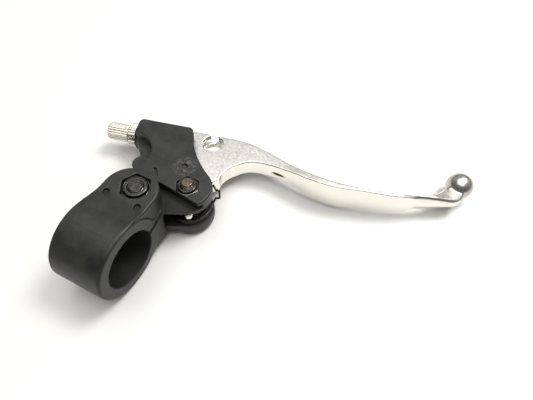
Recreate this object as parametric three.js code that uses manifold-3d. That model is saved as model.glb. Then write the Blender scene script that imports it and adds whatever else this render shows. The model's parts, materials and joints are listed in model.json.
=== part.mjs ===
// Clutch lever assembly for a 22.2 mm handlebar: a moulded perch with a split clamp, a cast lever
// on a bushed pivot bolt with a torsion return spring, and a screw adjuster for the cable.
//
// Millimetres, +Z up. The origin is the centre of the handlebar bore, X runs along the handlebar
// towards the lever's ball end, Y runs forward from the handlebar to the lever, and the pivot bolt
// and the clamp bolt stand along Z with their nuts on top.
import * as THREE from 'three';
import { mergeVertices } from 'three/addons/utils/BufferGeometryUtils.js';
import Module from 'manifold-3d';

const wasm = await Module();
wasm.setup();

// ---- Driving dimensions ----

const GAP = 0.3; // between parts that touch
const THROUGH = 1; // how far a cutter reaches past the face it cuts

const BAR_RADIUS = 11.1;
const RING_RADIUS = 15.8;
const CLAMP_WIDTH = 21.3;

// Levels of the perch
const FLANGE_TOP = 13.2;
const FLANGE_UNDERSIDE = 5.1;
const PAD_TOP = 7;
const STEP_TOP = 3.3;
const SLOT_TOP = 1.3;
const SLOT_FLOOR = -6.7;
const ARM_FLOOR = -11.5;
const EAR_FLOOR = -12.6;

// The flange is a tongue with a full round end
const FLANGE = { x: -0.25, y: 17.6, radius: 10.35 };
const FLANGE_CLEARANCE = 1;

const CLAMP_BOLT = { x: 0.7, y: 19.9, radius: 3 };
const CLAMP_NUT = { flats: 10, height: 3.4, collarRadius: 4.5, collarHeight: 1.5 };
const CLAMP_NUT_SEAT = 8.2;
const CLAMP_HEAD_SEAT = -7.8;
const CLAMP_HEAD = { flats: 10, height: 4 };
const CLAMP_WASHER = { radius: 6, thickness: 1.1 };
const CLAMP_BOLT_END = 14;

const PIVOT = { x: 13.6, y: 32.5, radius: 2.5 };
const PIVOT_NUT = { flats: 8, height: 2.7, collarRadius: 3.7, collarHeight: 1.3 };
const PIVOT_NUT_SEAT = 3.6;
const PIVOT_HEAD_SEAT = -9.4;
const PIVOT_HEAD = { flats: 8, height: 2.5 };
const PIVOT_WASHER = { radius: 5, thickness: 0.8 };
const PIVOT_BOLT_END = 9.6;
const EAR_RADIUS = 9.4;
const EAR_START = THREE.MathUtils.degToRad(-62); // where the arm's side meets the ear's round
const BUSH_RADIUS = 4;
const POCKET_PLAY = 0.3; // extra width across flats of a nut's pocket

// Lever
const LEVER_TOP = 0.9;
const LEVER_MIDDLE = -2.8;
const LEVER_BOSS_RADIUS = 6.8;
const SPRING_RECESS = { radius: 9.7, top: -3 };
const LEVER_TAB = { x: 17, y: 26.5, radius: 1.7 }; // stands out from the eye above the spring
const BALL = { x: 108.2, y: 93.3, radius: 5.5 };
const NECK = { radius: 8, half: 1.6 }; // the blade's half height within this radius of the ball
const NIPPLE = { x: 7.7, y: 60.4, radius: 4.4 };
const CABLE_SLOT = 2.8;

// Return spring
const WIRE_RADIUS = 0.45;
const COIL_RADIUS = 8.3;

// Cable line: from the nipple back through the perch and the adjuster
const CABLE_ANGLE = THREE.MathUtils.degToRad(15.5);
const PERCH_END = -33.4; // distance along the cable line to the boss's end face
const BOSS_RADIUS = 5.9;
const ADJUSTER = { headRadius: 3.85, headLength: 9, stemRadius: 3, stemLength: 14.5, ribs: 20 };
const LOCK_RING = { radius: 5.15, thickness: 3.1, ribs: 26 };
const CABLE_SLIT = 2.5; // width of the slits in the barrel and the lock ring that let the cable in
const SLIT_TURNS = { boss: 90, barrel: 0, lockRing: -120 }; // degrees round the cable from straight down
const RIB_DEPTH = 0.3;
const FERRULE = { radius: 2.6, depth: 6 };
const CABLE_RADIUS = 1.4;

// ---- Shapes and solids ----

const ROUND = 48; // segments in a full turn of a large round face
const SMALL_ROUND = 32;

// A closed geometry as a solid that can be joined and cut.
function solid(geometry) {
  const bare = geometry.index ? geometry.toNonIndexed() : geometry.clone();
  bare.deleteAttribute('normal');
  bare.deleteAttribute('uv');
  const merged = mergeVertices(bare, 1e-4);
  const corners = merged.index.array;
  const triVerts = [];
  for (let i = 0; i < corners.length; i += 3) {
    const [a, b, c] = corners.slice(i, i + 3);
    if (a !== b && b !== c && c !== a) triVerts.push(a, b, c);
  }
  const mesh = new wasm.Mesh({
    numProp: 3,
    vertProperties: merged.attributes.position.array,
    triVerts: Uint32Array.from(triVerts),
  });
  return new wasm.Manifold(mesh);
}

// A shape in the XY plane, as a solid plate from one height to another.
function plate(shape, low, high, curveSegments = 12) {
  const options = { depth: high - low, bevelEnabled: false, curveSegments };
  return solid(new THREE.ExtrudeGeometry(shape, options).translate(0, 0, low));
}

// A shape drawn in (Y, Z), as a solid bar from one x to another.
function barAlongX(shape, low, high, curveSegments = 12) {
  const options = { depth: high - low, bevelEnabled: false, curveSegments };
  const geometry = new THREE.ExtrudeGeometry(shape, options);
  geometry.rotateX(Math.PI / 2).rotateZ(Math.PI / 2).translate(low, 0, 0);
  return solid(geometry);
}

function polygon(points) {
  return new THREE.Shape(points.map(([x, y]) => new THREE.Vector2(x, y)));
}

// A regular polygon with corners on the X axis.
function regular(sides, radius, x = 0, y = 0) {
  const points = [];
  for (let i = 0; i < sides; i += 1) {
    const turn = (2 * Math.PI * i) / sides;
    points.push([x + radius * Math.cos(turn), y + radius * Math.sin(turn)]);
  }
  return polygon(points);
}

function hexagon(flats, at) {
  return regular(6, flats / Math.sqrt(3), at.x, at.y);
}

function disc(radius, at, segments = SMALL_ROUND) {
  return regular(segments, radius, at.x, at.y);
}

// A round shape with straight ribs, as knurling.
function ribbed(radius, ribs) {
  const points = [];
  for (let i = 0; i < 2 * ribs; i += 1) {
    const turn = (Math.PI * i) / ribs;
    const reach = i % 2 ? radius - RIB_DEPTH : radius;
    points.push([reach * Math.cos(turn), reach * Math.sin(turn)]);
  }
  return polygon(points);
}

// A box between two corners.
function block([x0, y0, z0], [x1, y1, z1]) {
  const geometry = new THREE.BoxGeometry(x1 - x0, y1 - y0, z1 - z0);
  return solid(geometry.translate((x0 + x1) / 2, (y0 + y1) / 2, (z0 + z1) / 2));
}

// A slit along X, open outwards from the middle, at an angle from straight down.
function slit(width, low, high, degrees) {
  return block([low, -width / 2, -20], [high, width / 2, 0]).rotate([degrees, 0, 0]);
}

// Moves a solid built along X in the cable's own frame to its place on the perch.
function onCableLine(piece) {
  const degrees = THREE.MathUtils.radToDeg(CABLE_ANGLE);
  return piece.rotate([0, 0, degrees]).translate([NIPPLE.x, NIPPLE.y, LEVER_MIDDLE]);
}

function joined(...solids) {
  return solids.reduce((whole, next) => whole.add(next));
}

function cut(whole, ...cutters) {
  return cutters.reduce((rest, cutter) => rest.subtract(cutter), whole);
}

function geometryOf(piece) {
  const { vertProperties, triVerts } = piece.getMesh();
  const geometry = new THREE.BufferGeometry();
  geometry.setAttribute('position', new THREE.BufferAttribute(vertProperties, 3));
  geometry.setIndex(new THREE.BufferAttribute(triVerts, 1));
  geometry.computeVertexNormals();
  return geometry;
}

function material(color, roughness, metalness) {
  return new THREE.MeshStandardMaterial({ color, roughness, metalness });
}

function node(name, piece, finish) {
  const geometry = piece.isBufferGeometry ? piece : geometryOf(piece);
  const mesh = new THREE.Mesh(geometry, finish);
  mesh.name = name;
  return mesh;
}

// ---- Perch ----

// The perch seen from above, from the clamp arm to the cable boss.
function perchOutline() {
  const side = CLAMP_WIDTH / 2;
  const shape = new THREE.Shape();
  shape.moveTo(side, 6);
  shape.lineTo(side, 20.4);
  shape.absarc(PIVOT.x, PIVOT.y, EAR_RADIUS, EAR_START, Math.PI / 3, false);
  shape.quadraticCurveTo(6.7, 46.5, 0.2, 57.7);
  shape.lineTo(-1.9, 59.3);
  shape.lineTo(-15, 55.7);
  shape.lineTo(-21.9, 53.9);
  shape.lineTo(-22.6, 52);
  shape.lineTo(-20.6, 45.2);
  shape.quadraticCurveTo(-14, 42, -side, 33);
  shape.lineTo(-side, 6);
  return shape;
}

// The slot that the lever swings in, open to the front, to the right and at the ears.
function slotOutline() {
  return polygon([
    [12.5, 17.5], [7.5, 22.5], [4.7, 27], [3.9, 33], [-5.5, 57.5], [-7.5, 66],
    [40, 66], [40, 17.5],
  ]);
}

// The split of the clamp, drawn in (Y, Z): it rises from the bore and runs on under the flange.
function splitProfile() {
  return polygon([
    [9, 0.1], [20.5, STEP_TOP], [29, STEP_TOP], [29, FLANGE_UNDERSIDE], [21.5, FLANGE_UNDERSIDE],
    [9, 1.5],
  ]);
}

function perchBody() {
  const side = CLAMP_WIDTH / 2;
  const { x, y, radius } = FLANGE;

  const ring = barAlongX(disc(RING_RADIUS, { x: 0, y: 0 }, 2 * ROUND), -side, side);
  const bore = barAlongX(disc(BAR_RADIUS, { x: 0, y: 0 }, ROUND), -side - THROUGH, side + THROUGH);
  const tongue = new THREE.Shape();
  tongue.moveTo(x + radius, 2);
  tongue.lineTo(x + radius, y);
  tongue.absarc(x, y, radius, 0, Math.PI, false);
  tongue.lineTo(x - radius, 2);
  const flange = plate(tongue, STEP_TOP, FLANGE_TOP, SMALL_ROUND);
  const armBelowFlange = block([-side, 2, ARM_FLOOR], [side, 20, FLANGE_UNDERSIDE]);

  // The body's top is cut away under the flange, around its round end, and beside the pad
  const body = cut(
    plate(perchOutline(), ARM_FLOOR, PAD_TOP, 20),
    plate(polygon([[-40, 0], [40, 0], [40, 25.3], [5, 28.9], [-40, 28.9]]), STEP_TOP, PAD_TOP + THROUGH),
    plate(disc(radius + FLANGE_CLEARANCE, { x, y }, ROUND), STEP_TOP, PAD_TOP + THROUGH),
    plate(disc(11.7, { x: -18.8, y: 35 }, ROUND), 2.2, PAD_TOP + THROUGH),
  );
  const switchBoss = plate(disc(3.8, { x: -10, y: 35.2 }), ARM_FLOOR, 4.2);
  const lowerEar = plate(disc(EAR_RADIUS, PIVOT, ROUND), EAR_FLOOR, SLOT_FLOOR - THROUGH);
  const cableBoss = onCableLine(barAlongX(disc(BOSS_RADIUS, { x: 0, y: 0 }), PERCH_END, -12));

  const lower = cut(
    joined(armBelowFlange, body, lowerEar, switchBoss, cableBoss),
    plate(slotOutline(), SLOT_FLOOR, SLOT_TOP),
  );
  const outer = cut(joined(ring, flange, lower), barAlongX(splitProfile(), -20, 40), bore);

  const boltHole = (at, clearance) =>
    plate(disc(at.radius + clearance, at), EAR_FLOOR - THROUGH, FLANGE_TOP + THROUGH);
  const stemHole = barAlongX(disc(ADJUSTER.stemRadius + GAP, { x: 0, y: 0 }), PERCH_END - 1, -21);
  const cableHole = barAlongX(disc(CABLE_RADIUS, { x: 0, y: 0 }, 16), -22, -6);
  const frontSlit = slit(CABLE_SLOT, PERCH_END - THROUGH, -6, SLIT_TURNS.boss);
  return cut(
    outer,
    boltHole(CLAMP_BOLT, GAP),
    boltHole(PIVOT, GAP),
    plate(hexagon(CLAMP_NUT.flats + POCKET_PLAY, CLAMP_BOLT), CLAMP_NUT_SEAT, FLANGE_TOP + THROUGH),
    plate(hexagon(PIVOT_NUT.flats + POCKET_PLAY, PIVOT), PIVOT_NUT_SEAT, PAD_TOP + THROUGH),
    plate(disc(CLAMP_WASHER.radius + GAP, CLAMP_BOLT), ARM_FLOOR - THROUGH, CLAMP_HEAD_SEAT),
    plate(disc(PIVOT_WASHER.radius + GAP, PIVOT), EAR_FLOOR - THROUGH, PIVOT_HEAD_SEAT),
    onCableLine(stemHole),
    onCableLine(cableHole),
    onCableLine(frontSlit),
    plate(disc(1.15, { x: -6.9, y: 13.3 }, 16), FLANGE_TOP - 1, FLANGE_TOP + THROUGH),
    plate(disc(1.15, { x: 6.6, y: 13 }, 16), FLANGE_TOP - 1, FLANGE_TOP + THROUGH),
    plate(disc(1.25, { x: 7.4, y: 40.3 }, 16), PAD_TOP - 1, PAD_TOP + THROUGH),
  );
}

// ---- Lever ----

// The lever seen from above: nose, finger blade, curl to the ball, shoulder and eye.
function leverOutline() {
  const at = (x, y) => new THREE.Vector2(x, y);
  const shape = new THREE.Shape();
  shape.moveTo(-4.4, 60);
  shape.lineTo(-2.8, 62.4);
  shape.lineTo(1.4, 64.2);
  shape.splineThru([at(9.4, 66.2), at(17, 68), at(25, 69), at(34, 68.6), at(52, 66.5), at(63, 66.9),
    at(73, 69.2), at(84, 73), at(93, 77.2), at(99.5, 82.2), at(103.4, 89.5)]);
  shape.lineTo(BALL.x, BALL.y);
  shape.lineTo(111.2, 87.8);
  shape.splineThru([at(110.6, 84.8), at(108.6, 82.2), at(104.8, 80), at(95.6, 75.2), at(84.4, 69.6),
    at(73, 65.5), at(63.8, 62.5), at(54, 61.4), at(43, 62), at(34, 61.5), at(26.3, 59),
    at(21.2, 53.2), at(19.4, 48.5), at(19.6, 45)]);
  shape.lineTo(17.4, 41.4);
  shape.absarc(PIVOT.x, PIVOT.y, LEVER_BOSS_RADIUS, Math.PI / 3, Math.PI, true);
  shape.lineTo(4.6, 37);
  shape.closePath();
  return shape;
}

// The lever seen from the handlebar, drawn in (X, Z): the blade is taller than the nose.
function leverProfile() {
  const risers = [[28, 0.9], [40, 1.2], [48, 2.3], [56, 3.2], [66, 3.7], [75, 3.7], [84, 3], [95, 1.6],
    [102, 0.6], [108, -0.3], [114, -1]];
  const shape = new THREE.Shape();
  shape.moveTo(-10, 2 * LEVER_MIDDLE - LEVER_TOP);
  for (const [x, top] of risers) shape.lineTo(x, 2 * LEVER_MIDDLE - top);
  for (const [x, top] of risers.reverse()) shape.lineTo(x, top);
  shape.lineTo(-10, LEVER_TOP);
  return shape;
}

function leverBlade() {
  const outline = plate(leverOutline(), -15, 10, 5);
  const side = solid(
    new THREE.ExtrudeGeometry(leverProfile(), { depth: 90, bevelEnabled: false })
      .rotateX(Math.PI / 2).translate(0, 105, 0),
  );
  const ball = solid(new THREE.SphereGeometry(BALL.radius, 28, 18).translate(BALL.x, BALL.y, LEVER_MIDDLE));
  const neck = (low, high) => plate(disc(NECK.radius, BALL, ROUND), low, high);
  const blade = cut(
    outline.intersect(side),
    neck(LEVER_MIDDLE + NECK.half, 10),
    neck(-20, LEVER_MIDDLE - NECK.half),
  );
  const tab = plate(disc(LEVER_TAB.radius, LEVER_TAB), SPRING_RECESS.top, LEVER_TOP);
  const recess = cut(
    plate(disc(SPRING_RECESS.radius, PIVOT, ROUND), -20, SPRING_RECESS.top),
    plate(disc(LEVER_BOSS_RADIUS, PIVOT, ROUND), -20, SPRING_RECESS.top),
  );
  const half = CABLE_SLOT / 2;
  const saddle = new THREE.Vector3(1, 0, 0).applyAxisAngle(new THREE.Vector3(0, 0, 1), CABLE_ANGLE);
  const cableSlot = plate(
    polygon([
      [NIPPLE.x, NIPPLE.y - half],
      [NIPPLE.x, NIPPLE.y + 10],
      [NIPPLE.x - 20 * saddle.x, NIPPLE.y + 10],
      [NIPPLE.x - 20 * saddle.x, NIPPLE.y - half - 20 * saddle.y],
    ]),
    LEVER_MIDDLE - half, LEVER_MIDDLE + half,
  );
  const entry = block([NIPPLE.x - 3, NIPPLE.y, LEVER_MIDDLE], [NIPPLE.x, NIPPLE.y + 10, 10]);
  return cut(
    joined(blade, ball, tab),
    plate(disc(BUSH_RADIUS + GAP, PIVOT), -20, 10),
    plate(disc(NIPPLE.radius, NIPPLE), -20, 10),
    recess,
    cableSlot,
    entry,
  );
}

// ---- Pivot and clamp fasteners ----

function tube(outer, inner, at, low, high) {
  return cut(plate(disc(outer, at), low, high), plate(disc(inner, at), low - THROUGH, high + THROUGH));
}

// A hexagon nut with the raised round collar that holds a locking ring.
function lockNut(nut, bolt, seat) {
  const hexTop = seat + nut.height;
  const collarTop = hexTop + nut.collarHeight;
  return cut(
    joined(
      plate(hexagon(nut.flats, bolt), seat, hexTop),
      plate(disc(nut.collarRadius, bolt), hexTop - 0.2, collarTop),
    ),
    plate(disc(bolt.radius + GAP, bolt), seat - THROUGH, collarTop + THROUGH),
    plate(disc(nut.collarRadius - 0.4, bolt), hexTop - 0.4, collarTop + THROUGH),
  );
}

function lockingRing(nut, bolt, seat) {
  const low = seat + nut.height - 0.1;
  const high = seat + nut.height + nut.collarHeight;
  return tube(nut.collarRadius - 0.4 - 0.2, bolt.radius + 0.2, bolt, low, high);
}

function hexBolt(bolt, head, headTop, end) {
  const chamfer = 0.6;
  const tip = new THREE.CylinderGeometry(bolt.radius - chamfer, bolt.radius, chamfer, SMALL_ROUND);
  tip.rotateX(Math.PI / 2).translate(bolt.x, bolt.y, end - chamfer / 2);
  return joined(
    plate(hexagon(head.flats, bolt), headTop - head.height, headTop),
    plate(disc(bolt.radius, bolt), headTop - 0.5, end - chamfer / 2),
    solid(tip),
  );
}

// ---- Return spring ----

// The coil lies round the lever's boss. One leg rests on the wall of the slot, and the other hooks
// round the lever's shoulder.
function coilPoints(first, last, turns) {
  const steps = Math.round(20 * turns);
  const points = [];
  for (let i = 0; i <= steps; i += 1) {
    const angle = first.angle + (2 * Math.PI * turns * i) / steps;
    points.push([
      PIVOT.x + COIL_RADIUS * Math.cos(angle),
      PIVOT.y + COIL_RADIUS * Math.sin(angle),
      THREE.MathUtils.lerp(first.z, last.z, i / steps),
    ]);
  }
  return points;
}

function returnSpring() {
  const restingLeg = [[4.4, 33.6, -4.5], [4.7, 31.4, -4.5]];
  const coil = coilPoints({ angle: THREE.MathUtils.degToRad(208), z: -4.55 }, { z: -6.15 }, 1.43);
  const hook = [[21.6, 36.5, -6.15], [20.9, 39.6, -6.15], [21.1, 40.9, -6.1], [21.8, 41.2, -5.6],
    [21.9, 41.5, -1.9], [21.4, 41.4, -1.4], [20.4, 41.2, -1.3], [18.8, 42.2, -0.5]];
  const points = [...restingLeg, ...coil, ...hook].map((place) => new THREE.Vector3(...place));
  const line = new THREE.CatmullRomCurve3(points, false, 'centripetal');
  const section = regular(8, WIRE_RADIUS);
  return solid(new THREE.ExtrudeGeometry(section, { steps: 120, extrudePath: line }));
}

// ---- Cable adjuster, drawn along X in the cable's own frame ----

const lockRingEnd = PERCH_END - GAP;
const headEnd = lockRingEnd - LOCK_RING.thickness - 0.9;

function adjusterBarrel() {
  const outerEnd = headEnd - ADJUSTER.headLength;
  const stemEnd = headEnd + ADJUSTER.stemLength;
  const centre = { x: 0, y: 0 };
  const head = barAlongX(ribbed(ADJUSTER.headRadius, ADJUSTER.ribs), outerEnd, headEnd);
  const stem = barAlongX(disc(ADJUSTER.stemRadius, centre), headEnd - 1, stemEnd);
  return cut(
    joined(head, stem),
    barAlongX(disc(FERRULE.radius, centre), outerEnd - THROUGH, outerEnd + FERRULE.depth),
    barAlongX(disc(CABLE_RADIUS, centre, 16), outerEnd, stemEnd + THROUGH),
    slit(CABLE_SLIT, outerEnd - THROUGH, stemEnd + THROUGH, SLIT_TURNS.barrel),
  );
}

function adjusterLockRing() {
  const low = lockRingEnd - LOCK_RING.thickness;
  return cut(
    barAlongX(ribbed(LOCK_RING.radius, LOCK_RING.ribs), low, lockRingEnd),
    barAlongX(disc(ADJUSTER.stemRadius + GAP, { x: 0, y: 0 }), low - THROUGH, lockRingEnd + THROUGH),
    slit(CABLE_SLIT, low - THROUGH, lockRingEnd + THROUGH, SLIT_TURNS.lockRing),
  );
}

// ---- Assembly ----

const blackPlastic = () => material(0x24262a, 0.55, 0);
const castAluminium = () => material(0xc9c7c2, 0.28, 1);
const blackSteel = () => material(0x2b2a28, 0.35, 0.9);
const springSteel = () => material(0x1d1c1b, 0.4, 0.9);
const nickel = () => material(0xd8d3c6, 0.3, 1);
const nylon = () => material(0x5a5c60, 0.6, 0);
const zincSteel = () => material(0xa9a69c, 0.35, 1);

const clampWasherTop = CLAMP_HEAD_SEAT - GAP;
const clampHeadTop = clampWasherTop - CLAMP_WASHER.thickness - GAP;
const pivotWasherTop = PIVOT_HEAD_SEAT - GAP;
const pivotHeadTop = pivotWasherTop - PIVOT_WASHER.thickness - GAP;

const assembly = new THREE.Group();
assembly.add(
  node('perch_body', perchBody(), blackPlastic()),
  node('lever_blade', leverBlade(), castAluminium()),
  node('pivot_bush', tube(BUSH_RADIUS, PIVOT.radius + GAP, PIVOT, SLOT_FLOOR + GAP, SLOT_TOP - GAP),
    zincSteel()),
  node('pivot_bolt', hexBolt(PIVOT, PIVOT_HEAD, pivotHeadTop, PIVOT_BOLT_END), blackSteel()),
  node('pivot_washer', tube(PIVOT_WASHER.radius, PIVOT.radius + GAP, PIVOT,
    pivotWasherTop - PIVOT_WASHER.thickness, pivotWasherTop), zincSteel()),
  node('pivot_nut', lockNut(PIVOT_NUT, PIVOT, PIVOT_NUT_SEAT + GAP), blackSteel()),
  node('pivot_nut_insert', lockingRing(PIVOT_NUT, PIVOT, PIVOT_NUT_SEAT + GAP), nylon()),
  node('return_spring', returnSpring(), springSteel()),
  node('clamp_bolt', hexBolt(CLAMP_BOLT, CLAMP_HEAD, clampHeadTop, CLAMP_BOLT_END), blackSteel()),
  node('clamp_washer', tube(CLAMP_WASHER.radius, CLAMP_BOLT.radius + GAP, CLAMP_BOLT,
    clampWasherTop - CLAMP_WASHER.thickness, clampWasherTop), zincSteel()),
  node('clamp_nut', lockNut(CLAMP_NUT, CLAMP_BOLT, CLAMP_NUT_SEAT + GAP), blackSteel()),
  node('clamp_nut_insert', lockingRing(CLAMP_NUT, CLAMP_BOLT, CLAMP_NUT_SEAT + GAP), nylon()),
);

const adjuster = new THREE.Group();
adjuster.position.set(NIPPLE.x, NIPPLE.y, LEVER_MIDDLE);
adjuster.rotation.z = CABLE_ANGLE;
adjuster.add(
  node('adjuster_barrel', adjusterBarrel(), nickel()),
  node('adjuster_lock_ring', adjusterLockRing(), nickel()),
);
assembly.add(adjuster);

export default assembly;
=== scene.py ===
"""The looks of the clutch lever: a moulded perch, a cast lever, its fasteners, spring and adjuster.

Each solid piece is written as a signed distance in millimetres, negative inside, and meshed from it,
so that every moulded or machined edge has its real round. Blender's own units are metres.
"""
import json
import math

import bpy
import numpy as np
import openvdb
from mathutils import Matrix, Vector

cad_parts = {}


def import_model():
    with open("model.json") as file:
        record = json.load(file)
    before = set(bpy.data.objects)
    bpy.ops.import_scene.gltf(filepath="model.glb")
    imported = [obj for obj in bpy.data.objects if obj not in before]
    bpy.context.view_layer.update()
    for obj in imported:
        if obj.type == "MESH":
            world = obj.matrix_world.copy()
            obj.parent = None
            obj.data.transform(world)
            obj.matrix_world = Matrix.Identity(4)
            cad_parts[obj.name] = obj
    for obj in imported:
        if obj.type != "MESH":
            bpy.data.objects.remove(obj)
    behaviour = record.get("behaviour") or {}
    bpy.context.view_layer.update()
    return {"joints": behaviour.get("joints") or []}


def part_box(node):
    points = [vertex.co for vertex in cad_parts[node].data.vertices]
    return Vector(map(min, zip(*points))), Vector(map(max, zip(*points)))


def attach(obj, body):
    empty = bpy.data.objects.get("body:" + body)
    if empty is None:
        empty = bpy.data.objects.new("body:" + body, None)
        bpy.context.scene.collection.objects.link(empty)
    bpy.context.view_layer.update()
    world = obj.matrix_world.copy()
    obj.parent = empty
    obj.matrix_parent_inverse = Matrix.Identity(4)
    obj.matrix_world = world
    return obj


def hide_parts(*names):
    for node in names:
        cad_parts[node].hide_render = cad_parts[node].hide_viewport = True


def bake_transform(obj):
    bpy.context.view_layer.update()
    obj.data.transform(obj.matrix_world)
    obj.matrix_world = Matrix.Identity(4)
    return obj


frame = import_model()

MM = 0.001
FINE = 1.0

# ---- Places and sizes, in millimetres ----


def span(node):
    """The lowest and highest corners of a CAD node, in millimetres."""
    return [np.array(corner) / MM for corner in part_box(node)]


def middle(node):
    low, high = span(node)
    return (low + high) / 2


JOINTS = {joint["name"]: joint for joint in frame["joints"]}
PIVOT = np.array(JOINTS["lever_pivot"]["pos_m"]) / MM
CLAMP = middle("clamp_bolt")

BAR_RADIUS = 11.1
RING_RADIUS = 15.8
SIDE = 10.65  # half the clamp's width
FLANGE_X, FLANGE_Y, FLANGE_RADIUS = -0.25, 17.6, 10.35
FLANGE_TOP, FLANGE_UNDERSIDE = 13.2, 5.1
PAD_TOP, STEP_TOP = 7.0, 3.3
SLOT_TOP, SLOT_FLOOR = 1.3, -6.7
ARM_FLOOR, EAR_FLOOR = -11.5, -12.6
ARM_BACK, ARM_FRONT = 2, 20
EAR_RADIUS = 9.4
BORE_PLAY = 0.3
CLAMP_SHANK, PIVOT_SHANK = 3.0, 2.5  # the bolts' radii
CLAMP_HOLE, PIVOT_HOLE = 3.3, 2.8  # and those of the holes round them
THREAD_START = -1.0  # the bolts are threaded above this
CLAMP_POCKET_FLATS, CLAMP_POCKET_FLOOR = 10.3, 8.2
PIVOT_POCKET_FLATS, PIVOT_POCKET_FLOOR = 8.3, 3.6
CLAMP_HEAD_HOLE, CLAMP_HEAD_SEAT = 6.3, -7.8
PIVOT_HEAD_HOLE, PIVOT_HEAD_SEAT = 5.3, -9.4
SCOOP, SCOOP_RADIUS, SCOOP_FLOOR = (-18.8, 35), 11.7, 2.2
SWITCH_BOSS, SWITCH_BOSS_RADIUS, SWITCH_BOSS_TOP = (-10, 35.2), 3.8, 4.2

LEVER_MIDDLE = PIVOT[2]
BUSH_RADIUS = 4.0
EYE_RADIUS = 6.8
BALL = np.array([108.2, 93.3, LEVER_MIDDLE])
BALL_RADIUS = 5.5
NIPPLE = np.array([7.7, 60.4])
NIPPLE_RADIUS = 4.4
NIPPLE_ENTRY = 3  # how far the opening beside the nipple's hole reaches
TAB, TAB_RADIUS = (17.0, 26.5), 1.75
TAB_FLOOR, TAB_TOP = -3.2, -0.6
PIT, PIT_REACH = (38.5, 61.6, -3.4), (2.7, 0.7, 0.7)
SPRING_ROOM_RADIUS, SPRING_ROOM_TOP = 9.7, -3
CABLE_SLOT_START_Y = 55  # the lever's slot for the cable lies beyond this

CABLE_DIRECTION = -np.array(JOINTS["adjuster_screw"]["axis"])
CABLE_ANGLE = math.atan2(CABLE_DIRECTION[1], CABLE_DIRECTION[0])
STEM_RADIUS = 3.0
CABLE_RADIUS = 1.4
CABLE_SLOT = 2.8
# Places along the cable's line, from the nipple at 0
CABLE_BOSS, CABLE_BOSS_RADIUS = (-33.4, -12), 5.9
STEM_HOLE_END = -21
CABLE_HOLE = (-22, -6)
RING_END, LOCK_RING_HEIGHT, LOCK_RING_RADIUS, LOCK_RING_RIBS = -33.7, 3.1, 5.15, 26
HEAD_END = RING_END - LOCK_RING_HEIGHT - 0.9
HEAD_LENGTH, HEAD_RADIUS, HEAD_RIBS = 9.0, 3.85, 20
HEAD_START = HEAD_END - HEAD_LENGTH
STEM_END = HEAD_END + 14.5
RIB_DEPTH = 0.32
STEM_PITCH = 1.0
COUNTERBORE_RADIUS, COUNTERBORE_DEPTH = 2.6, 6
BARREL_SLIT, BARREL_SLIT_ANGLE = 2.4, -math.pi / 2
RING_SLIT, RING_SLIT_ANGLE = 2.6, math.radians(150)

COIL_RADIUS, COIL_TURNS, COIL_START = 8.3, 1.43, math.radians(208)
COIL_TOP, COIL_FOOT = -4.55, -6.15
WIRE_RADIUS = 0.45

# ---- Distances ----


def both(a, b, radius=0.0):
    """What lies inside a and b, with the edge between them rounded."""
    if not radius:
        return np.maximum(a, b)
    corner = np.hypot(np.maximum(a + radius, 0), np.maximum(b + radius, 0))
    return np.minimum(np.maximum(a, b), -radius) + corner


def join(a, b, radius):
    """What lies inside a or b, with a fillet between them."""
    return -both(-a, -b, radius)


def cut(a, b, radius):
    """a without b, with the edge rounded."""
    return both(a, -b, radius)


def between(value, low, high):
    return np.abs(value - (low + high) / 2) - (high - low) / 2


def outline(points, x, y):
    """Distance to a closed outline."""
    shape = np.broadcast(x, y).shape
    nearest = np.full(shape, 1e9, np.float32)
    inside = np.zeros(shape, bool)
    for (ax, ay), (bx, by) in zip(points, points[1:] + points[:1]):
        ex, ey = bx - ax, by - ay
        wx, wy = x - ax, y - ay
        share = np.clip((wx * ex + wy * ey) / (ex * ex + ey * ey), 0, 1)
        nearest = np.minimum(nearest, (wx - ex * share) ** 2 + (wy - ey * share) ** 2)
        if ay != by:
            inside ^= ((ay > y) != (by > y)) & (x < ax + ex * (y - ay) / ey)
    return np.where(inside, -1, 1) * np.sqrt(nearest)


def arc(centre, radius, start, end, steps):
    angles = np.radians(np.linspace(start, end, steps))
    return [(centre[0] + radius * math.cos(a), centre[1] + radius * math.sin(a)) for a in angles]


def bend(start, control, end, steps=14):
    """A quadratic curve, without its first point."""
    start, control, end = (np.array(p, float) for p in (start, control, end))
    turns = np.linspace(0, 1, steps + 1)[1:]
    return [tuple((1 - t) ** 2 * start + 2 * t * (1 - t) * control + t * t * end) for t in turns]


def rounded(corners):
    """A closed outline through corners (x, y, reach), each eased from reach before it to reach after it."""
    points = []
    places = [np.array(corner[:2], float) for corner in corners]
    for i, place in enumerate(places):
        reach = corners[i][2]
        if not reach:
            points.append(tuple(place))
            continue
        before, after = places[i - 1] - place, places[(i + 1) % len(places)] - place
        start = place + before * reach / np.linalg.norm(before)
        end = place + after * reach / np.linalg.norm(after)
        points += [tuple(start)] + bend(start, place, end, 6)
    return points


def corners_eased(path):
    """An open line through (x, y, z, reach), each inner corner eased over its reach."""
    places = [np.array(p[:3], float) for p in path]
    points = [places[0]]
    for before, place, after, corner in zip(places, places[1:], places[2:], path[1:]):
        start = place + (before - place) * corner[3] / np.linalg.norm(before - place)
        end = place + (after - place) * corner[3] / np.linalg.norm(after - place)
        points += [start] + bend(start, place, end, 5)
    return points + [places[-1]]


def smooth_line(points, steps=14):
    """A Catmull-Rom curve through the points."""
    p = np.array(points, float)
    p = np.vstack([2 * p[0] - p[1], p, 2 * p[-1] - p[-2]])
    t = np.linspace(0, 1, steps, endpoint=False)[:, None]
    parts = []
    for a, b, c, d in zip(p, p[1:], p[2:], p[3:]):
        square, cube = 2 * a - 5 * b + 4 * c - d, 3 * b - a - 3 * c + d
        parts.append(0.5 * (2 * b + (c - a) * t + square * t**2 + cube * t**3))
    return np.vstack(parts + [p[-2:-1]])


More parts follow.
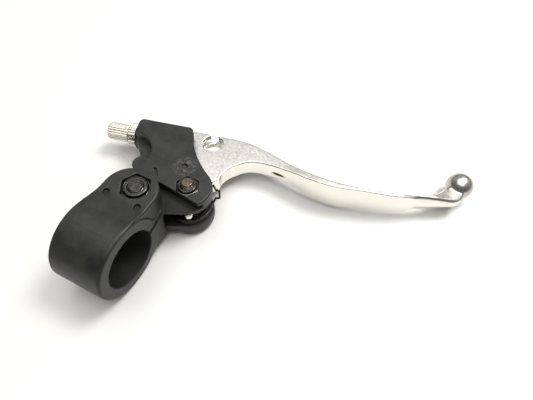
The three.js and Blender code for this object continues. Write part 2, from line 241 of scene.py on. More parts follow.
def hexagon(x, y, centre, flats, radius):
    """A hexagon with corners on the X axis."""
    dx, dy = x - centre[0], y - centre[1]
    slope_x, slope_y = math.cos(math.pi / 6), math.sin(math.pi / 6)
    faces = [np.abs(dy), np.abs(dx * slope_x + dy * slope_y), np.abs(dx * slope_x - dy * slope_y)]
    inside = [face - flats / 2 for face in faces]
    return both(both(inside[0], inside[1], radius), inside[2], radius)


def round_about(x, y, centre):
    return np.hypot(x - centre[0], y - centre[1])


def thread(radial, along, turn, radius, pitch):
    """A screw thread: the wall moves in and out along the helix."""
    phase = along / pitch - turn / (2 * math.pi)
    depth = 0.27 * pitch
    return radial - radius + depth + depth * np.cos(2 * math.pi * phase)


# ---- From distances to meshes ----


def mesh_object(name, points, faces, normals=None):
    mesh = bpy.data.meshes.new(name)
    mesh.from_pydata(points.tolist(), [], faces)
    mesh.polygons.foreach_set("use_smooth", [True] * len(mesh.polygons))
    mesh.update()
    if normals is not None:
        mesh.normals_split_custom_set_from_vertices(normals.tolist())
    obj = bpy.data.objects.new(name, mesh)
    bpy.context.scene.collection.objects.link(obj)
    return obj


def slopes(shape, points, step):
    """The gradient of a distance at points, from four samples round each."""
    corners = np.array([[1, -1, -1], [-1, -1, 1], [-1, 1, -1], [1, 1, 1]], np.float32)
    return sum(c * shape(*(points + c * step).T)[:, None] for c in corners) / (4 * step)


def sculpt(name, shape, low, high, voxel, place=None):
    """Meshes the surface of a distance between two corners, in millimetres."""
    voxel *= FINE
    axes = [np.arange(a - 2 * voxel, b + 3 * voxel, voxel, dtype=np.float32) for a, b in zip(low, high)]
    x, y, z = np.meshgrid(*axes, indexing="ij", sparse=True)
    field = np.clip(shape(x, y, z), -3 * voxel, 3 * voxel).astype(np.float32)
    grid = openvdb.FloatGrid(3 * voxel)
    grid.copyFromArray(np.array(np.broadcast_to(field, [len(a) for a in axes])))
    points, triangles, quads = grid.convertToPolygons(adaptivity=0.0)
    origin = np.array([a[0] for a in axes], np.float32)
    points = points.astype(np.float32) * voxel + origin
    gradient = slopes(shape, points, 0.4 * voxel)
    steep = np.maximum((gradient**2).sum(1), 0.25)
    shift = gradient * (shape(*points.T) / steep)[:, None]
    points -= np.clip(shift, -0.5 * voxel, 0.5 * voxel)
    normals = gradient / np.sqrt(steep)[:, None]
    faces = triangles.tolist() + quads.tolist()
    points = points * MM
    if place is not None:
        turn = np.array(place.to_3x3())
        points = points @ turn.T + np.array(place.translation)
        normals = normals @ turn.T
    return mesh_object(name, points, faces, normals)


def tube(name, points, radius, sides=14):
    """A round wire along a line of points, closed at both ends."""
    p = np.array(points, float)
    along = np.gradient(p, axis=0)
    along /= np.linalg.norm(along, axis=1)[:, None]
    across = np.cross(along[0], [0.0, 0.0, 1.0])
    turns = np.linspace(0, 2 * math.pi, sides, endpoint=False)
    rings = []
    for centre, direction in zip(p, along):
        across = across - direction * (across @ direction)
        across /= np.linalg.norm(across)
        up = np.cross(direction, across)
        rings.append(centre + radius * (np.outer(np.cos(turns), across) + np.outer(np.sin(turns), up)))
    bulge = 0.35 * radius
    tips = [p[0] - bulge * along[0], p[-1] + bulge * along[-1]]
    vertices = np.vstack(rings + tips)
    faces = []
    for i in range(len(p) - 1):
        for j in range(sides):
            k = (j + 1) % sides
            faces.append((i * sides + j, i * sides + k, (i + 1) * sides + k, (i + 1) * sides + j))
    first, last = len(vertices) - 2, len(vertices) - 1
    base = (len(p) - 1) * sides
    for j in range(sides):
        k = (j + 1) % sides
        faces.append((first, k, j))
        faces.append((last, base + j, base + k))
    return mesh_object(name, vertices * MM, faces)


# ---- Perch ----


def perch_plan():
    ear = arc(PIVOT, EAR_RADIUS, -62, 60, 30)
    return (
        [(SIDE, 6), (SIDE, 20.4)]
        + ear
        + bend(ear[-1], (6.7, 46.5), (0.3, 57.4))
        + bend((0.3, 57.5), (-0.3, 58.8), (-1.9, 59.3), 5)
        + [(-15, 55.7)]
        + bend((-21.0, 54.2), (-22.4, 53.8), (-22.6, 52.0), 5)
        + [(-20.6, 45.2)]
        + bend((-20.6, 45.2), (-14, 42), (-SIDE, 33))
        + [(-SIDE, 6)]
    )


PERCH_PLAN = perch_plan()
SLOT_PLAN = rounded([
    (12.5, 17.5, 0), (7.5, 22.5, 2), (4.7, 27, 2), (3.9, 33, 2),
    (-5.5, 57.5, 2), (-7.5, 66, 0), (40, 66, 0), (40, 17.5, 0),
])
SPLIT_PROFILE = [(9, 0.1), (20.5, 3.3), (29, 3.3), (29, 5.1), (21.5, 5.1), (9, 1.5)]
BODY_DIMPLE = (7.5, 40.3)
FLANGE_DIMPLES = [(-6.9, 13.3), (6.6, 13.0)]
DIMPLE_RADIUS, DIMPLE_DEPTH = 1.25, 1.0
PAD_SHADE_START_Y = 14  # the pad's cut gets painted recess shade beyond this
WALL_SHADE_START = (-3, 44)  # so does the wall beside the lever's nose, beyond these x and y
NICK, NICK_DEPTH = [(-2.7, 33.9), (-1.5, 34.1), (0.9, 31.6), (0.3, 31.2)], 0.8
PAD_EDGE = [(-40, 0), (40, 0), (40, 25.3), (5, 28.9), (-40, 28.9)]


def cable_frame(x, y, z):
    """Along the cable's line from its nipple, across it, and round it."""
    dx, dy = x - NIPPLE[0], y - NIPPLE[1]
    along = dx * math.cos(CABLE_ANGLE) + dy * math.sin(CABLE_ANGLE)
    across = -dx * math.sin(CABLE_ANGLE) + dy * math.cos(CABLE_ANGLE)
    return along, across, np.hypot(across, z - LEVER_MIDDLE)


def dimple(distance, x, y, z, centre, top):
    """A shallow round sink with a soft rim."""
    sink = both(round_about(x, y, centre) - DIMPLE_RADIUS, top - DIMPLE_DEPTH - z, 0.3)
    return cut(distance, sink, 0.25)


def pad_cut(x, y, z):
    """What is cut away beside the pad."""
    return both(outline(PAD_EDGE, x, y), STEP_TOP - z, 0.5)


def lever_slot(x, y, z):
    return both(outline(SLOT_PLAN, x, y), between(z, SLOT_FLOOR, SLOT_TOP), 0.5)


def perch(x, y, z):
    barrel = np.hypot(y, z) - RING_RADIUS
    ring = both(barrel, np.abs(x) - SIDE, 0.8)
    tongue = np.hypot(x - FLANGE_X, np.maximum(y - FLANGE_Y, 0)) - FLANGE_RADIUS
    slab = np.maximum(between(z, STEP_TOP, FLANGE_TOP), -y)
    flange = both(join(barrel, slab, 3.2), tongue, 0.7)

    plan = outline(PERCH_PLAN, x, y)
    body = both(plan, between(z, ARM_FLOOR, PAD_TOP), 0.7)
    body = cut(body, pad_cut(x, y, z), 0.4)
    round_flange = round_about(x, y, (FLANGE_X, FLANGE_Y)) - FLANGE_RADIUS - 1
    body = cut(body, both(round_flange, STEP_TOP - z), 0.4)
    body = cut(body, both(round_about(x, y, SCOOP) - SCOOP_RADIUS, SCOOP_FLOOR - z, 1.2), 0.5)
    arm = both(np.abs(x) - SIDE, between(y, ARM_BACK, ARM_FRONT))
    arm = both(arm, between(z, ARM_FLOOR, FLANGE_UNDERSIDE), 0.5)
    ear = both(round_about(x, y, PIVOT) - EAR_RADIUS, between(z, EAR_FLOOR, SLOT_FLOOR - 1), 0.7)
    switch_boss = round_about(x, y, SWITCH_BOSS) - SWITCH_BOSS_RADIUS
    switch_boss = both(switch_boss, between(z, ARM_FLOOR, SWITCH_BOSS_TOP), 0.7)
    along, across, off_line = cable_frame(x, y, z)
    cable_boss = both(off_line - CABLE_BOSS_RADIUS, between(along, *CABLE_BOSS), 0.6)

    lower = join(join(join(join(arm, body, 0.3), ear, 0.6), switch_boss, 0.6), cable_boss, 1.2)
    lower = cut(lower, lever_slot(x, y, z), 0.45)
    whole = join(join(ring, flange, 0.3), lower, 0.4)
    whole = cut(whole, outline(SPLIT_PROFILE, y, z), 0.3)
    whole = cut(whole, np.hypot(y, z) - BAR_RADIUS, 0.5)

    for hole in (
        both(hexagon(x, y, CLAMP, CLAMP_POCKET_FLATS, 0.3), CLAMP_POCKET_FLOOR - z),
        both(hexagon(x, y, PIVOT, PIVOT_POCKET_FLATS, 0.3), PIVOT_POCKET_FLOOR - z),
        round_about(x, y, CLAMP) - CLAMP_HOLE,
        round_about(x, y, PIVOT) - PIVOT_HOLE,
        both(round_about(x, y, CLAMP) - CLAMP_HEAD_HOLE, z - CLAMP_HEAD_SEAT),
        both(round_about(x, y, PIVOT) - PIVOT_HEAD_HOLE, z - PIVOT_HEAD_SEAT),
        both(off_line - STEM_RADIUS - BORE_PLAY, along - STEM_HOLE_END),
        both(off_line - CABLE_RADIUS, between(along, *CABLE_HOLE)),
        both(both(np.abs(z - LEVER_MIDDLE) - CABLE_SLOT / 2, -across), along - CABLE_HOLE[1]),
    ):
        whole = cut(whole, hole, 0.22)
    for centre in FLANGE_DIMPLES:
        whole = dimple(whole, x, y, z, centre, FLANGE_TOP)
    whole = cut(whole, both(outline(NICK, x, y), PAD_TOP - NICK_DEPTH - z), 0.15)
    return dimple(whole, x, y, z, BODY_DIMPLE, PAD_TOP)


# ---- Lever ----

FRONT_LINE = [(1.4, 64.2), (9.4, 66.2), (17, 68), (25, 69), (34, 68.6), (52, 66.5), (63, 66.9),
              (73, 69.2), (84, 73), (93, 77.2), (99.5, 82.2), (103.4, 89.5)]
REAR_LINE = [(111.2, 87.8), (110.6, 84.8), (108.6, 82.2), (104.8, 80), (95.6, 75.2), (84.4, 69.6),
             (73, 65.5), (63.8, 62.5), (54, 61.4), (43, 62), (34, 61.5), (26.3, 59), (21.2, 53.2),
             (19.4, 48.5), (19.6, 45)]
TOP_LINE = [(-20, 0.9), (10, 0.9), (28, 0.9), (40, 1.2), (48, 2.3), (56, 3.2), (66, 3.7), (75, 3.7),
            (84, 3.0), (95, 1.6), (102, 0.6), (108, -0.3), (120, -1)]
# The neck's half height by distance from the ball's middle
NECK_HALF = [(0, 2.0), (5.5, 1.7), (8, 2.0), (11.7, 2.75), (15.6, 3.6), (21, 4.9), (30, 7.2), (200, 50)]
NECK_GRAPH = smooth_line(NECK_HALF).T
FRONT_GRAPH = smooth_line(FRONT_LINE[:-2]).T
TOP_GRAPH = smooth_line(TOP_LINE).T
LEVER_PLAN = (
    [(-4.4, 60), (-2.8, 62.4)]
    + [tuple(p) for p in smooth_line(FRONT_LINE)]
    + [tuple(BALL[:2])]
    + [tuple(p) for p in smooth_line(REAR_LINE)]
    + [(17.4, 41.4)]
    + arc(PIVOT, EYE_RADIUS, 60, -180, 40)
    + [(4.6, 37)]
)


def ease(value, low, high):
    """0 below low, 1 above high, and smooth between."""
    share = np.clip((value - low) / (high - low), 0, 1)
    return share * share * (3 - 2 * share)


def from_ball(x, y, z):
    return np.sqrt((x - BALL[0]) ** 2 + (y - BALL[1]) ** 2 + (z - BALL[2]) ** 2)


def casting_pit(x, y, z):
    """A small flaw in the blade's rear face."""
    squares = [((v - centre) / reach) ** 2 for v, centre, reach in zip((x, y, z), PIT, PIT_REACH)]
    return (np.sqrt(sum(squares)) - 1) * 0.6


def lever(x, y, z):
    height = np.abs(z - LEVER_MIDDLE)
    half = np.interp(x, *TOP_GRAPH) - LEVER_MIDDLE
    half = np.minimum(half, np.interp(round_about(x, y, BALL), *NECK_GRAPH))
    plan = outline(LEVER_PLAN, x, y)
    blade = both(plan, height - half, 0.45)

    # The blade's front is a polished half round, cut off by the flat land along its top
    slope = np.interp(x, FRONT_GRAPH[0], np.gradient(FRONT_GRAPH[1], FRONT_GRAPH[0]))
    inward = (np.interp(x, *FRONT_GRAPH) - y) / np.sqrt(1 + slope**2)
    inward = inward + (-plan - inward) * ease(x, 86, 96)
    reach = 0.9 + 3.3 * ease(x, 14, 46) - 1.9 * ease(x, 84, 98)
    crown = (np.hypot(np.maximum(reach - inward, 0) / reach, height / (1.13 * half)) - 1) * reach
    blade = both(blade, crown, 0.2)

    whole = join(blade, from_ball(x, y, z) - BALL_RADIUS, 0.7)
    tab = both(round_about(x, y, TAB) - TAB_RADIUS, between(z, TAB_FLOOR, TAB_TOP), 0.7)
    whole = join(whole, tab, 0.5)

    eye = round_about(x, y, PIVOT)
    spring_room = both(both(eye - SPRING_ROOM_RADIUS, EYE_RADIUS - eye), z - SPRING_ROOM_TOP)
    slot_line, slot_across, _ = cable_frame(x, y, z)
    cable_slot = np.maximum(slot_line, -CABLE_RADIUS - slot_across)
    cable_slot = both(np.abs(z - LEVER_MIDDLE) - CABLE_SLOT / 2, cable_slot)
    entry = both(between(x, NIPPLE[0] - NIPPLE_ENTRY, NIPPLE[0]), NIPPLE[1] - y)
    entry = both(entry, LEVER_MIDDLE - z)
    for hole in (
        eye - BUSH_RADIUS - BORE_PLAY,
        round_about(x, y, NIPPLE) - NIPPLE_RADIUS,
        spring_room,
        np.maximum(cable_slot, CABLE_SLOT_START_Y - y),
        entry,
    ):
        whole = cut(whole, hole, 0.3)
    return cut(whole, casting_pit(x, y, z), 0.1)


# ---- Fasteners, spring and adjuster ----


def lock_nut(node, shank):
    low, high = span(node)
    centre = (low + high) / 2
    flats = high[1] - low[1]
    collar = 0.31 * (high[2] - low[2])

    def shape(x, y, z):
        radial = round_about(x, y, centre)
        sides = hexagon(x, y, centre, flats, 0.15)
        top = high[2] - collar
        body = both(sides, between(z, low[2], top), 0.1)
        cone = (radial - 0.5 * flats + 1.7 * (z - top) - 0.2) / 2
        foot = (radial - 0.5 * flats - 1.7 * (z - low[2]) - 0.2) / 2
        body = both(both(body, cone, 0.1), foot, 0.1)
        skirt = both(radial - 0.45 * flats, between(z, top - 0.6, high[2]), 0.5)
        recess = both(radial - 0.45 * flats + 0.55, top - 0.4 - z)
        nut = cut(join(body, skirt, 0.35), recess, 0.15)
        return cut(nut, radial - shank - 0.2, 0.15)

    return sculpt(node + "_turned", shape, low, high, 0.11)


def nut_insert(node, shank):
    low, high = span(node)
    centre = (low + high) / 2
    outer = (high[0] - low[0]) / 2

    def shape(x, y, z):
        radial = round_about(x, y, centre)
        ring = both(radial - outer, between(z, low[2], high[2] - 0.1), 0.2)
        return cut(ring, radial - shank - 0.1, 0.2)

    return sculpt(node + "_moulded", shape, low, high, 0.1)


def hex_bolt(node, radius, pitch, head_height):
    low, high = span(node)
    centre = (low + high) / 2
    flats = high[1] - low[1]

    def shape(x, y, z):
        radial = round_about(x, y, centre)
        turn = np.arctan2(y - centre[1], x - centre[0])
        top = low[2] + head_height
        head = both(hexagon(x, y, centre, flats, 0.2), between(z, low[2], top), 0.15)
        head = both(head, (radial - 0.5 * flats - 1.7 * (z - low[2]) - 0.1) / 2, 0.1)
        head = cut(head, both(radial - 0.33 * flats, z - low[2] - 0.35), 0.3)
        shank = np.maximum(radial - radius, between(z, top - 0.5, high[2]))
        threaded = np.maximum(thread(radial, z, turn, radius, pitch), THREAD_START - z)
        shank = np.where(z > THREAD_START, np.maximum(shank, threaded), shank)
        shank = both(shank, (radial - radius + 0.55 + z - high[2]) / 1.41, 0.12)
        return join(head, shank, 0.25)

    return sculpt(node + "_turned", shape, low, high, 0.12)


def washer(node, hole):
    low, high = span(node)
    centre = (low + high) / 2

    def shape(x, y, z):
        radial = round_about(x, y, centre)
        disc = both(radial - (high[0] - low[0]) / 2, between(z, low[2], high[2]), 0.15)
        return cut(disc, radial - hole, 0.12)

    return sculpt(node + "_stamped", shape, low, high, 0.13)


def bush():
    low, high = span("pivot_bush")

    def shape(x, y, z):
        radial = round_about(x, y, PIVOT)
        wall = both(radial - BUSH_RADIUS, between(z, low[2], high[2]), 0.3)
        return cut(wall, radial - PIVOT_HOLE, 0.3)

    return sculpt("pivot_bush_turned", shape, low, high, 0.13)


def spring():
    """A coil round the lever's eye: one leg rests on the slot's wall, the other hooks the shoulder."""
    turns = COIL_START + np.linspace(0, 2 * math.pi * COIL_TURNS, 60)
    height = np.linspace(COIL_TOP, COIL_FOOT, 60)
    coil = [PIVOT[0] + COIL_RADIUS * np.cos(turns), PIVOT[1] + COIL_RADIUS * np.sin(turns), height]
    leg = [(4.4, 33.6, -4.5), (4.7, 31.4, -4.5)]
    hook = [(21.85, 33.4, -6.15, 0), (20.6, 39.6, -6.15, 1.0), (20.55, 40.6, -6.15, 0.3),
            (21.9, 41.3, -6.1, 0.35), (21.95, 41.5, -1.4, 0.35), (20.4, 41.2, -1.3, 0.5),
            (18.6, 42.2, -0.4, 0)]
    path = list(smooth_line(leg + np.stack(coil, 1).tolist(), 4)) + corners_eased(hook)
    return tube("return_spring_wire", path, WIRE_RADIUS)


CABLE_PLACE = Matrix.Translation(Vector((NIPPLE[0], NIPPLE[1], LEVER_MIDDLE)) * MM) @ Matrix.Rotation(
    CABLE_ANGLE, 4, "Z"
)


def ribbed(y, z, radius, ribs):
    """A round bar with ribs along it, rounder at their tops than at their roots."""
    turn = np.arctan2(z, y)
    wave = np.abs(np.sin(ribs * turn / 2))
    return np.hypot(y, z) - radius + RIB_DEPTH * (1 - wave**0.7)


def slot_towards(y, z, angle, width):
    """A slot from the middle outwards, at an angle in the plane across the cable."""
    out = y * math.cos(angle) + z * math.sin(angle)
    side = -y * math.sin(angle) + z * math.cos(angle)
    return both(np.abs(side) - width / 2, -out)


def adjuster_barrel():
    def shape(x, y, z):
        radial = np.hypot(y, z)
        head = both(ribbed(y, z, HEAD_RADIUS, HEAD_RIBS), between(x, HEAD_START, HEAD_END), 0.2)
        head = both(head, (radial - HEAD_RADIUS + 0.55 + HEAD_START - x) / 1.41, 0.1)
        stem = thread(radial, x, np.arctan2(z, y), STEM_RADIUS, STEM_PITCH)
        stem = np.maximum(stem, between(x, HEAD_END - 1, STEM_END))
        whole = join(head, stem, 0.2)
        whole = cut(whole, both(radial - COUNTERBORE_RADIUS, x - HEAD_START - COUNTERBORE_DEPTH), 0.2)
        whole = cut(whole, radial - CABLE_RADIUS, 0.15)
        return cut(whole, slot_towards(y, z, BARREL_SLIT_ANGLE, BARREL_SLIT), 0.15)

    wide = HEAD_RADIUS + 0.05
    low, high = (HEAD_START, -wide, -wide), (STEM_END, wide, wide)
    return sculpt("adjuster_barrel_turned", shape, low, high, 0.14, CABLE_PLACE)


def adjuster_lock_ring():
    def shape(x, y, z):
        radial = np.hypot(y, z)
        ring = ribbed(y, z, LOCK_RING_RADIUS, LOCK_RING_RIBS)
        ring = both(ring, between(x, RING_END - LOCK_RING_HEIGHT, RING_END), 0.25)
        ring = cut(ring, radial - STEM_RADIUS - 0.25, 0.2)
        return cut(ring, slot_towards(y, z, RING_SLIT_ANGLE, RING_SLIT), 0.2)

    wide = LOCK_RING_RADIUS + 0.05
    low, high = (RING_END - LOCK_RING_HEIGHT, -wide, -wide), (RING_END, wide, wide)
    return sculpt("adjuster_lock_ring_turned", shape, low, high, 0.14, CABLE_PLACE)


# ---- Materials ----


def new_material(name):
    material = bpy.data.materials.new(name)
    material.use_nodes = True
    nodes, links = material.node_tree.nodes, material.node_tree.links
    return material, nodes, links, nodes["Principled BSDF"]


def noise(nodes, links, scale, detail=4.0, roughness=0.5, stretch=(1, 1, 1)):
    """Noise with a feature size in the object's own millimetres."""
    place = nodes.new("ShaderNodeTexCoord")
    mapping = nodes.new("ShaderNodeMapping")
    mapping.inputs["Scale"].default_value = [s / MM / scale for s in stretch]
    texture = nodes.new("ShaderNodeTexNoise")
    texture.inputs["Scale"].default_value = 1.0
    texture.inputs["Detail"].default_value = detail
    texture.inputs["Roughness"].default_value = roughness
    links.new(place.outputs["Object"], mapping.inputs["Vector"])
    links.new(mapping.outputs["Vector"], texture.inputs["Vector"])
    return texture.outputs["Fac"]


def remap(nodes, links, value, low, high, to_low, to_high):
    node = nodes.new("ShaderNodeMapRange")
    node.inputs["From Min"].default_value = low
    node.inputs["From Max"].default_value = high
    node.inputs["To Min"].default_value = to_low
    node.inputs["To Max"].default_value = to_high
    links.new(value, node.inputs["Value"])
    return node.outputs["Result"]


def blend_colour(nodes, links, share, first, second):
    node = nodes.new("ShaderNodeMix")
    node.data_type = "RGBA"
    for socket, colour in ((node.inputs[6], first), (node.inputs[7], second)):
        if isinstance(colour, tuple):
            socket.default_value = (*colour, 1)
        else:
            links.new(colour, socket)
    links.new(share, node.inputs[0])
    return node.outputs[2]


def share(nodes, name):
    """A share from 0 to 1 that is written at a mesh's vertices."""
    node = nodes.new("ShaderNodeAttribute")
    node.attribute_name = name
    return node.outputs["Fac"]


def product(nodes, links, first, second):
    node = nodes.new("ShaderNodeMath")
    node.operation = "MULTIPLY"
    links.new(first, node.inputs[0])
    links.new(second, node.inputs[1])
    return node.outputs[0]


def bump(nodes, links, height, strength, distance, before=None):
    node = nodes.new("ShaderNodeBump")
    node.inputs["Strength"].default_value = strength
    node.inputs["Distance"].default_value = distance * MM
    links.new(height, node.inputs["Height"])
    if before is not None:
        links.new(before, node.inputs["Normal"])
    return node.outputs["Normal"]


def moulded_plastic():
    """Black glass-filled nylon: fine spark-eroded grain, faint flow marks, a little dust and painted shade
    in its recesses.
    """
    material, nodes, links, shader = new_material("perch_plastic")
    grain = noise(nodes, links, 0.35, 3)
    flow = noise(nodes, links, 7, 4, 0.65)
    ripple = noise(nodes, links, 2.6, 2)
    dust = noise(nodes, links, 2.2, 6, 0.7)
    base = blend_colour(nodes, links, remap(nodes, links, flow, 0.35, 0.65, 0, 1),
                        (0.0105, 0.0115, 0.0125), (0.0235, 0.0240, 0.0220))
    speck = remap(nodes, links, dust, 0.6, 0.78, 0, 0.35)
    base = blend_colour(nodes, links, speck, base, (0.060, 0.059, 0.053))
    scuffed, recess = share(nodes, "scuffed"), share(nodes, "recess")
    crumbs = remap(nodes, links, noise(nodes, links, 1.3, 4, 0.7), 0.42, 0.6, 0, 1)
    crumbs = product(nodes, links, scuffed, crumbs)
    base = blend_colour(nodes, links, crumbs, base, (0.085, 0.084, 0.076))
    # Painted shade: the recess share darkens the colour to near black in recesses, the slot and the wall by
    # the lever's nose
    base = blend_colour(nodes, links, recess, base, (0.006, 0.006, 0.006))
    links.new(base, shader.inputs["Base Color"])
    shader.inputs["Specular IOR Level"].default_value = 0.4
    rough = nodes.new("ShaderNodeMath")
    rough.operation = "MULTIPLY_ADD"
    links.new(recess, rough.inputs[0])
    rough.inputs[1].default_value = 0.25
    links.new(remap(nodes, links, flow, 0.3, 0.7, 0.36, 0.52), rough.inputs[2])
    links.new(rough.outputs[0], shader.inputs["Roughness"])
    normal = bump(nodes, links, grain, 0.35, 0.05)
    normal = bump(nodes, links, ripple, 0.35, 0.2, normal)
    normal = bump(nodes, links, crumbs, 0.9, 0.25, normal)
    links.new(bump(nodes, links, dust, 0.2, 0.08, normal), shader.inputs["Normal"])
    return material


def cast_aluminium():
    """Polished casting: mirror-like rounds, a satin, speckled flat face, and painted shade along a rim, in
    a pit and over the ball.
    """
    material, nodes, links, shader = new_material("lever_alloy")
    satin = share(nodes, "satin")
    speckle = noise(nodes, links, 1.1, 5, 0.65)
    pits = noise(nodes, links, 0.45, 3, 0.6)
    scratches = noise(nodes, links, 0.5, 3, 0.6, (0.06, 1.5, 1.5))
    flat = blend_colour(nodes, links, remap(nodes, links, speckle, 0.35, 0.65, 0, 1),
                        (0.60, 0.58, 0.55), (0.80, 0.785, 0.76))
    colour = blend_colour(nodes, links, satin, (0.89, 0.87, 0.81), flat)
    # Painted shade: darkens the rim line, the casting pit and the ball, standing for shade and dark
    # reflections
    colour = blend_colour(nodes, links, share(nodes, "painted_shade"), colour, (0.10, 0.085, 0.065))
    links.new(colour, shader.inputs["Base Color"])
    shader.inputs["Metallic"].default_value = 1.0
    rough = nodes.new("ShaderNodeMix")
    links.new(satin, rough.inputs[0])
    links.new(remap(nodes, links, scratches, 0.3, 0.7, 0.13, 0.20), rough.inputs[2])
    links.new(remap(nodes, links, speckle, 0.3, 0.7, 0.30, 0.46), rough.inputs[3])
    links.new(rough.outputs[0], shader.inputs["Roughness"])
    normal = bump(nodes, links, scratches, 0.05, 0.02)
    pitted = product(nodes, links, pits, satin)
    links.new(bump(nodes, links, pitted, 0.5, 0.05, normal), shader.inputs["Normal"])
    return material


def metal(name, dark, light, rough_low, rough_high):
    """A plated or oiled metal with faint mottling and fine tool marks."""
    material, nodes, links, shader = new_material(name)
    mottle = noise(nodes, links, 1.2, 5, 0.6)
    marks = noise(nodes, links, 0.3, 3, 0.6)
    colour = blend_colour(nodes, links, remap(nodes, links, mottle, 0.35, 0.65, 0, 1), dark, light)
    bare = product(nodes, links, share(nodes, "worn"), remap(nodes, links, mottle, 0.35, 0.65, 0.2, 0.8))
    colour = blend_colour(nodes, links, bare, colour, (0.20, 0.155, 0.12))
    links.new(colour, shader.inputs["Base Color"])
    shader.inputs["Metallic"].default_value = 1.0
    links.new(remap(nodes, links, mottle, 0.3, 0.7, rough_low, rough_high), shader.inputs["Roughness"])
    links.new(bump(nodes, links, marks, 0.15, 0.03), shader.inputs["Normal"])
    return material


def nylon_ring():
    material, nodes, links, shader = new_material("nylon")
    cloud = noise(nodes, links, 0.8, 4)
    links.new(blend_colour(nodes, links, cloud, (0.020, 0.021, 0.024), (0.034, 0.035, 0.038)),
              shader.inputs["Base Color"])
    links.new(remap(nodes, links, cloud, 0.3, 0.7, 0.38, 0.5), shader.inputs["Roughness"])
    return material


def tabletop():
    material, nodes, links, shader = new_material("tabletop")
    cloud = noise(nodes, links, 60, 3)
    links.new(blend_colour(nodes, links, cloud, (0.72, 0.715, 0.70), (0.735, 0.73, 0.715)),
              shader.inputs["Base Color"])
    shader.inputs["Roughness"].default_value = 0.5
    return material


# ---- Assembly ----


def write_share(mesh, name, values):
    mesh.attributes.new(name, "FLOAT", "POINT").data.foreach_set("value", values.astype(np.float32))


def vertices(obj):
    """The x, y and z of an object's vertices, in millimetres."""
    places = np.zeros(len(obj.data.vertices) * 3, np.float32)
    obj.data.vertices.foreach_get("co", places)
    return places.reshape(-1, 3).T / MM


def paint_recess_shade(obj):
    """Writes where the perch gets painted shade, in its recesses and on the wall beside the lever's nose,
    and the scuffed patch round its dimple.
    """
    x, y, z = vertices(obj)
    beside_pad = np.where(y > PAD_SHADE_START_Y, pad_cut(x, y, z), 1)
    bore = np.hypot(y, z) - BAR_RADIUS
    inner = [lever_slot(x, y, z), outline(SPLIT_PROFILE, y, z), bore, beside_pad]
    near = np.min([np.abs(distance) for distance in inner], 0)
    for centre in FLANGE_DIMPLES:
        near = np.minimum(near, np.maximum(round_about(x, y, centre) - 1.2, z - FLANGE_TOP + 0.4))
    wall = both(np.abs(outline(PERCH_PLAN, x, y)) - 0.3, np.maximum(z - PAD_TOP + 0.5, WALL_SHADE_START[1] - y))
    wall = np.maximum(wall, WALL_SHADE_START[0] - x)
    # Painted shade, near black, in the slot, the split, the bore and beside the pad, and on the wall by the
    # lever's nose
    write_share(obj.data, "recess", np.maximum(1 - ease(near, 0.1, 0.5), 1 - ease(wall, 0.0, 0.4)))
    from_dimple = np.hypot(round_about(x, y, BODY_DIMPLE), 2 * (z - PAD_TOP))
    write_share(obj.data, "scuffed", 1 - ease(from_dimple, 3.0, 5.5))


def mark_satin(obj):
    """Writes where the lever is satin, on its flat faces and its ball, and where it gets painted shade."""
    normals = np.zeros(len(obj.data.vertices) * 3, np.float32)
    obj.data.vertex_normals.foreach_get("vector", normals)
    flat = np.abs(normals.reshape(-1, 3)[:, 2])
    x, y, z = vertices(obj)
    on_ball = 1 - ease(from_ball(x, y, z), BALL_RADIUS + 1, BALL_RADIUS + 5)
    write_share(obj.data, "satin", np.maximum(ease(flat, 0.95, 0.995), 0.45 * on_ball))
    # A painted dark reflection along the rim between the flat top and the rear face, from the shoulder to
    # the blade's middle
    rim = ease(flat, 0.25, 0.5) * (1 - ease(flat, 0.9, 0.98)) * ease(x, 20, 24) * (1 - ease(x, 48, 70))
    rim = rim * ease(np.interp(x, *FRONT_GRAPH) - y, 4.2, 5.0)
    # Painted shade inside the casting pit
    pit = 1 - ease(casting_pit(x, y, z), 0.02, 0.2)
    # Painted shade: the rim's dark reflection line, the pit, and a painted dark reflection over the ball
    write_share(obj.data, "painted_shade", np.max([pit, 0.95 * rim, 0.4 * on_ball], 0))


def mark_worn(obj, seat):
    """Writes where a bolt's end stands bare, above its nut's seat."""
    write_share(obj.data, "worn", ease(vertices(obj)[2], seat, seat + 1))


def fit(obj, node, body, material):
    obj.data.materials.append(material)
    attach(obj, body)
    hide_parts(node)


plastic = moulded_plastic()
alloy = cast_aluminium()
black_steel = metal("black_steel", (0.055, 0.053, 0.050), (0.13, 0.125, 0.115), 0.18, 0.30)
spring_steel = metal("spring_steel", (0.030, 0.028, 0.026), (0.060, 0.056, 0.050), 0.28, 0.40)
nickel = metal("nickel", (0.78, 0.74, 0.65), (0.90, 0.87, 0.79), 0.34, 0.46)
zinc = metal("zinc_steel", (0.50, 0.49, 0.46), (0.64, 0.63, 0.60), 0.26, 0.40)
nylon = nylon_ring()

perch_shell = sculpt("perch_moulding", perch, *span("perch_body"), 0.27)
paint_recess_shade(perch_shell)
fit(perch_shell, "perch_body", "perch", plastic)

lever_casting = sculpt("lever_casting", lever, *span("lever_blade"), 0.3)
mark_satin(lever_casting)
fit(lever_casting, "lever_blade", "lever", alloy)

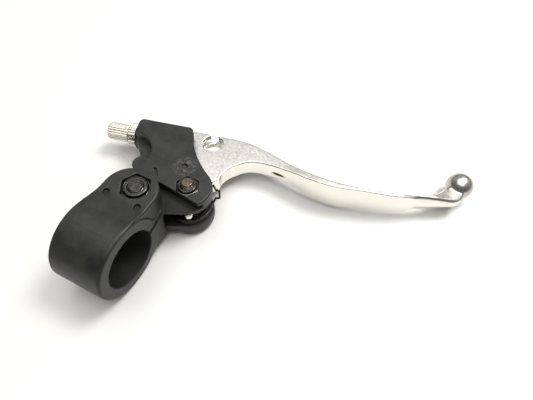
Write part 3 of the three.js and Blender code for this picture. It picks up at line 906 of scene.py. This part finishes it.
fit(lock_nut("clamp_nut", CLAMP_SHANK), "clamp_nut", "perch", black_steel)
fit(lock_nut("pivot_nut", PIVOT_SHANK), "pivot_nut", "perch", black_steel)
fit(nut_insert("clamp_nut_insert", CLAMP_SHANK), "clamp_nut_insert", "perch", nylon)
fit(nut_insert("pivot_nut_insert", PIVOT_SHANK), "pivot_nut_insert", "perch", nylon)
fit(hex_bolt("clamp_bolt", CLAMP_SHANK, 1.0, 4.0), "clamp_bolt", "perch", black_steel)
pivot_bolt = hex_bolt("pivot_bolt", PIVOT_SHANK, 0.8, 2.5)
mark_worn(pivot_bolt, 6.5)
fit(pivot_bolt, "pivot_bolt", "perch", black_steel)
fit(washer("clamp_washer", CLAMP_HOLE), "clamp_washer", "perch", zinc)
fit(washer("pivot_washer", PIVOT_HOLE), "pivot_washer", "perch", zinc)
fit(bush(), "pivot_bush", "perch", zinc)
fit(adjuster_barrel(), "adjuster_barrel", "adjuster", nickel)
fit(adjuster_lock_ring(), "adjuster_lock_ring", "lock_ring", nickel)

wire = spring()
wire.data.materials.append(spring_steel)
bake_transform(wire)
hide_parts("return_spring")

# ---- Floor, light and camera ----

TILT = math.atan(0.068)  # the table meets the clamp ring and rises towards the ball
LIGHT_TARGET = Vector((0.04, 0.04, 0))
LIGHT_COLOUR = (1.0, 0.99, 0.97)
CAMERA_PLACE = (0.07792, -0.04256, 0.13575)
CAMERA_RIGHT = Vector((0.8912, 0.4509, 0.0496))
CAMERA_DOWN = Vector((0.3948, -0.7171, -0.5744))
LENS = 28.58


def floor():
    half, near_edge = 3.0, -0.24  # the table ends in front of the camera, in metres
    corners = [(-half, near_edge, 0), (half, near_edge, 0), (half, half, 0), (-half, half, 0)]
    obj = mesh_object("table", np.array(corners), [(0, 1, 2, 3)])
    drop = -(RING_RADIUS + 0.05) * MM / math.cos(TILT)
    obj.matrix_world = Matrix.Translation((0, 0, drop)) @ Matrix.Rotation(TILT, 4, "X")
    obj.data.materials.append(tabletop())


def area_light(name, place, size, power):
    data = bpy.data.lights.new(name, "AREA")
    data.shape = "RECTANGLE"
    data.size, data.size_y = size
    data.energy = power
    data.color = LIGHT_COLOUR
    obj = bpy.data.objects.new(name, data)
    bpy.context.scene.collection.objects.link(obj)
    obj.location = place
    obj.rotation_euler = (LIGHT_TARGET - Vector(place)).to_track_quat("-Z", "Y").to_euler()


def camera():
    data = bpy.data.cameras.new("camera")
    data.sensor_width = 36
    data.lens = LENS
    data.clip_start = 0.005
    obj = bpy.data.objects.new("camera", data)
    bpy.context.scene.collection.objects.link(obj)
    view = CAMERA_RIGHT.cross(CAMERA_DOWN)
    turn = Matrix((CAMERA_RIGHT, -CAMERA_DOWN, -view)).transposed().to_4x4()
    obj.matrix_world = Matrix.Translation(CAMERA_PLACE) @ turn
    bpy.context.scene.camera = obj


def world():
    """A dim room: dark behind the camera and at the horizon, light ahead and overhead."""
    made = bpy.data.worlds.new("studio")
    bpy.context.scene.world = made
    made.use_nodes = True
    nodes, links = made.node_tree.nodes, made.node_tree.links
    split = nodes.new("ShaderNodeSeparateXYZ")
    links.new(nodes.new("ShaderNodeTexCoord").outputs["Generated"], split.inputs[0])
    ahead = remap(nodes, links, split.outputs["Y"], -0.35, 0.45, 0.22, 0.50)
    rise = remap(nodes, links, split.outputs["Z"], 0.0, 0.5, 0.45, 1.0)
    overhead = remap(nodes, links, split.outputs["Z"], 0.8, 1.0, 0.0, 0.35)
    total = nodes.new("ShaderNodeMath")
    total.operation = "MULTIPLY_ADD"
    for value, socket in zip((ahead, rise, overhead), total.inputs):
        links.new(value, socket)
    nodes["Background"].inputs["Color"].default_value = (1.0, 0.985, 0.96, 1)
    links.new(total.outputs[0], nodes["Background"].inputs["Strength"])


floor()
area_light("window", (0.33, 0.43, 0.88), (0.32, 0.32), 6.5)
area_light("ceiling", (0.04, 0.0, 1.3), (1.5, 1.5), 15.0)
world()
camera()
bpy.context.scene.view_settings.view_transform = "Standard"
